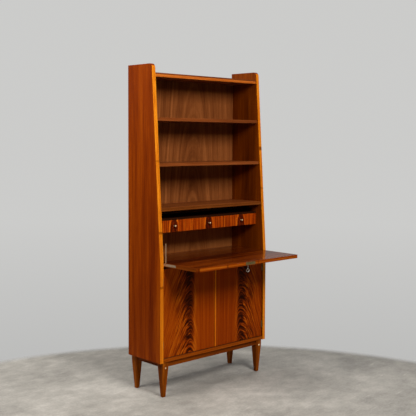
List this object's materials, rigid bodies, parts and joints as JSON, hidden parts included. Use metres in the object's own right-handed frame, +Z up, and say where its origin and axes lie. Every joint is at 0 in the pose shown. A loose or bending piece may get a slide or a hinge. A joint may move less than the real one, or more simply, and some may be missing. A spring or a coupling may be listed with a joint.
{
  "type": "secretary desk",
  "caption": "Tall narrow secretary desk: open bookcase over a drop flap writing compartment with small drawers and a cupboard with hinged doors, on tapered legs.",
  "frame": {"origin": "on the floor at the middle of the object's bounding box, with the flap open: midway between the sides, and midway between the flap's free edge and the back edges of the sides", "axes": "+Z up, +Y to the back, +X to the right as seen from the front; the flap opens towards -Y"},
  "size_m": [0.82, 0.541, 1.785],
  "materials": {
    "veneer_sides": "satin lacquered veneer, warm reddish brown with upright grain",
    "solid_edges": "satin lacquered solid edging, golden orange",
    "shelf_wood": "satin lacquered veneer, mid brown",
    "back_wood": "matt lacquered veneer, mid brown with upright grain",
    "flame_veneer": "glossy lacquered figured veneer, reddish orange",
    "flap_veneer": "glossy lacquered veneer, reddish brown",
    "leg_wood": "satin lacquered solid wood, brown",
    "pale_wood": "plain unlacquered solid wood",
    "brass": "aged brass",
    "nickel": "dull nickelled steel",
    "steel": "plain steel"
  },
  "bodies": {
    "carcass": {"left_side": "veneer_sides", "right_side": "veneer_sides", "top_board": "solid_edges", "upper_shelf": "shelf_wood", "lower_shelf": "shelf_wood", "compartment_roof": "solid_edges", "drawer_case_top": "flame_veneer", "drawer_case_bottom": "pale_wood", "drawer_dividers": "pale_wood", "desk_floor": "veneer_sides", "door_head_rail": "veneer_sides", "cupboard_shelf": "shelf_wood", "bottom_board": "solid_edges", "back_panel": "back_wood", "front_apron": "leg_wood", "back_apron": "leg_wood", "left_apron": "leg_wood", "right_apron": "leg_wood", "front_left_leg": "leg_wood", "front_right_leg": "leg_wood", "back_left_leg": "leg_wood", "back_right_leg": "leg_wood", "leg_studs": "brass", "shelf_pins": "brass", "back_screws": "steel", "flap_pivot_pins": "steel", "lock_strike": "brass", "frame_hinge_leaves": "brass", "hinge_pins": "brass", "door_catches": "steel"},
    "flap": {"flap_panel": "flap_veneer", "flap_front_lipping": "solid_edges", "flap_end_lippings": "solid_edges", "stay_arm": "nickel", "stay_screws": "steel", "lock_case": "steel", "lock_plate": "brass", "keyhole_escutcheon": "brass"},
    "bolt": {"lock_bolt": "brass"},
    "key": {"key": "nickel"},
    "left_door": {"left_door": "flame_veneer", "left_door_hinge_leaves": "brass"},
    "right_door": {"right_door": "flame_veneer", "right_door_hinge_leaves": "brass", "door_meeting_strip": "solid_edges"},
    "left_drawer": {"left_drawer_front": "flame_veneer", "left_drawer_sides": "pale_wood", "left_drawer_back": "pale_wood", "left_drawer_bottom": "pale_wood", "left_drawer_knob": "brass"},
    "middle_drawer": {"middle_drawer_front": "flame_veneer", "middle_drawer_sides": "pale_wood", "middle_drawer_back": "pale_wood", "middle_drawer_bottom": "pale_wood", "middle_drawer_knob": "brass"},
    "right_drawer": {"right_drawer_front": "flame_veneer", "right_drawer_sides": "pale_wood", "right_drawer_back": "pale_wood", "right_drawer_bottom": "pale_wood", "right_drawer_knob": "brass"}
  },
  "joints": [
    {"name": "flap_hinge", "type": "hinge", "parent": "carcass", "child": "flap", "pos_m": [0, 0.0055, 0.723], "axis": [1, 0, 0], "range_deg": [-93.86, 0]},
    {"name": "key_turn", "type": "hinge", "parent": "flap", "child": "key", "pos_m": [0, -0.2495, 0.723], "axis": [0, 0, 1], "range_deg": [0, 180]},
    {"name": "bolt_slide", "type": "slide", "parent": "flap", "child": "bolt", "axis": [0, -1, 0], "range_m": [0, 0.008]},
    {"name": "left_door_hinge", "type": "hinge", "parent": "carcass", "child": "left_door", "pos_m": [-0.385, 0.0021, 0.457], "axis": [0, 0, -1], "range_deg": [0, 100]},
    {"name": "right_door_hinge", "type": "hinge", "parent": "carcass", "child": "right_door", "pos_m": [0.385, 0.0021, 0.457], "axis": [0, 0, 1], "range_deg": [0, 100]},
    {"name": "left_drawer_slide", "type": "slide", "parent": "carcass", "child": "left_drawer", "axis": [0, -1, 0], "range_m": [0, 0.12]},
    {"name": "middle_drawer_slide", "type": "slide", "parent": "carcass", "child": "middle_drawer", "axis": [0, -1, 0], "range_m": [0, 0.12]},
    {"name": "right_drawer_slide", "type": "slide", "parent": "carcass", "child": "right_drawer", "axis": [0, -1, 0], "range_m": [0, 0.12]}
  ],
  "couplings": [
    {"joint": "key_turn", "follows": "bolt_slide", "rad_per_m": 392.7}
  ]
}
